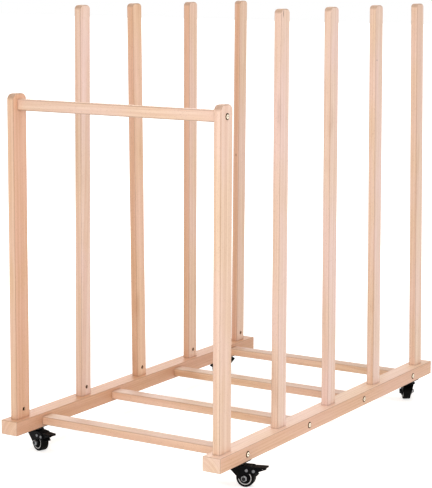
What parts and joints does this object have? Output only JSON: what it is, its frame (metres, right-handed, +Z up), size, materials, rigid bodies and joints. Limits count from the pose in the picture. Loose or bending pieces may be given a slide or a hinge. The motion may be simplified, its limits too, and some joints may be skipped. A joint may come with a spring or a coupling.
{
  "type": "art drying rack",
  "caption": "Beech drying rack on braked swivel casters, with upright posts along both base rails so that canvases and boards stand on edge between them.",
  "frame": {"origin": "on the floor under the middle of the two base rails", "axes": "+X to the right side, +Y from the push bar's end to the rear, +Z up"},
  "size_m": [0.7094, 1.15, 1.11],
  "materials": {
    "beech": "sanded and clear matt varnish",
    "beech_dowel": "bare turned wood",
    "brass_bolts": "brass plated steel",
    "zinc_steel": "zinc plated",
    "black_steel": "semi-gloss black",
    "black_plastic": "moulded",
    "black_rubber": "matt"
  },
  "bodies": {
    "rack": {"base_rail_left": "beech", "base_rail_right": "beech", "rung_1": "beech", "rung_2": "beech", "rung_3": "beech", "rung_4": "beech", "post_left_1": "beech", "post_left_2": "beech", "post_left_3": "beech", "post_left_4": "beech", "post_left_5": "beech", "post_right_1": "beech", "post_right_2": "beech", "post_right_3": "beech", "post_right_4": "beech", "post_right_5": "beech", "push_bar": "beech", "rung_bolts": "brass_bolts", "post_bolts": "brass_bolts", "push_bar_bolts": "brass_bolts", "cross_dowel_nuts": "zinc_steel", "wood_dowels": "beech_dowel", "push_bar_dowels": "beech_dowel", "caster_plates": "black_steel", "caster_kingpins": "zinc_steel", "caster_balls": "zinc_steel", "caster_screws": "zinc_steel"},
    "swivel_front_right": {"fork_front_right": "black_steel", "fork_rivets_front_right": "zinc_steel", "axle_bolt_front_right": "zinc_steel", "axle_nut_front_right": "zinc_steel", "axle_bush_front_right": "zinc_steel"},
    "lever_front_right": {"brake_lever_front_right": "black_steel"},
    "wheel_front_right": {"wheel_rim_front_right": "black_plastic", "tyre_front_right": "black_rubber"},
    "swivel_front_left": {"fork_front_left": "black_steel", "fork_rivets_front_left": "zinc_steel", "axle_bolt_front_left": "zinc_steel", "axle_nut_front_left": "zinc_steel", "axle_bush_front_left": "zinc_steel"},
    "lever_front_left": {"brake_lever_front_left": "black_steel"},
    "wheel_front_left": {"wheel_rim_front_left": "black_plastic", "tyre_front_left": "black_rubber"},
    "swivel_rear_right": {"fork_rear_right": "black_steel", "fork_rivets_rear_right": "zinc_steel", "axle_bolt_rear_right": "zinc_steel", "axle_nut_rear_right": "zinc_steel", "axle_bush_rear_right": "zinc_steel"},
    "lever_rear_right": {"brake_lever_rear_right": "black_steel"},
    "wheel_rear_right": {"wheel_rim_rear_right": "black_plastic", "tyre_rear_right": "black_rubber"},
    "swivel_rear_left": {"fork_rear_left": "black_steel", "fork_rivets_rear_left": "zinc_steel", "axle_bolt_rear_left": "zinc_steel", "axle_nut_rear_left": "zinc_steel", "axle_bush_rear_left": "zinc_steel"},
    "lever_rear_left": {"brake_lever_rear_left": "black_steel"},
    "wheel_rear_left": {"wheel_rim_rear_left": "black_plastic", "tyre_rear_left": "black_rubber"}
  },
  "joints": [
    {"name": "swivel_front_right", "type": "hinge", "parent": "rack", "child": "swivel_front_right", "pos_m": [0.2935, -0.4575, 0.06], "axis": [0, 0, 1], "continuous": true},
    {"name": "roll_front_right", "type": "hinge", "parent": "swivel_front_right", "child": "wheel_front_right", "pos_m": [0.31396, -0.45278, 0.022], "axis": [-0.225, 0.9744, 0], "continuous": true},
    {"name": "brake_front_right", "type": "hinge", "parent": "swivel_front_right", "child": "lever_front_right", "pos_m": [0.33538, -0.44783, 0.041], "axis": [-0.225, 0.9744, 0], "range_deg": [0, 18]},
    {"name": "swivel_front_left", "type": "hinge", "parent": "rack", "child": "swivel_front_left", "pos_m": [-0.296, -0.4655, 0.06], "axis": [0, 0, 1], "continuous": true},
    {"name": "roll_front_left", "type": "hinge", "parent": "swivel_front_left", "child": "wheel_front_left", "pos_m": [-0.27603, -0.47199, 0.022], "axis": [0.309, 0.9511, 0], "continuous": true},
    {"name": "brake_front_left", "type": "hinge", "parent": "swivel_front_left", "child": "lever_front_left", "pos_m": [-0.25513, -0.47878, 0.041], "axis": [0.309, 0.9511, 0], "range_deg": [0, 18]},
    {"name": "swivel_rear_right", "type": "hinge", "parent": "rack", "child": "swivel_rear_right", "pos_m": [0.2935, 0.471, 0.06], "axis": [0, 0, 1], "continuous": true},
    {"name": "roll_rear_right", "type": "hinge", "parent": "swivel_rear_right", "child": "wheel_rear_right", "pos_m": [0.28176, 0.48841, 0.022], "axis": [-0.829, -0.5592, 0], "continuous": true},
    {"name": "brake_rear_right", "type": "hinge", "parent": "swivel_rear_right", "child": "lever_rear_right", "pos_m": [0.26947, 0.50663, 0.041], "axis": [-0.829, -0.5592, 0], "range_deg": [0, 18]},
    {"name": "swivel_rear_left", "type": "hinge", "parent": "rack", "child": "swivel_rear_left", "pos_m": [-0.296, 0.459, 0.06], "axis": [0, 0, 1], "continuous": true},
    {"name": "roll_rear_left", "type": "hinge", "parent": "swivel_rear_left", "child": "wheel_rear_left", "pos_m": [-0.3065, 0.44081, 0.022], "axis": [0.866, -0.5, 0], "continuous": true},
    {"name": "brake_rear_left", "type": "hinge", "parent": "swivel_rear_left", "child": "lever_rear_left", "pos_m": [-0.31749, 0.42178, 0.041], "axis": [0.866, -0.5, 0], "range_deg": [0, 18]}
  ]
}
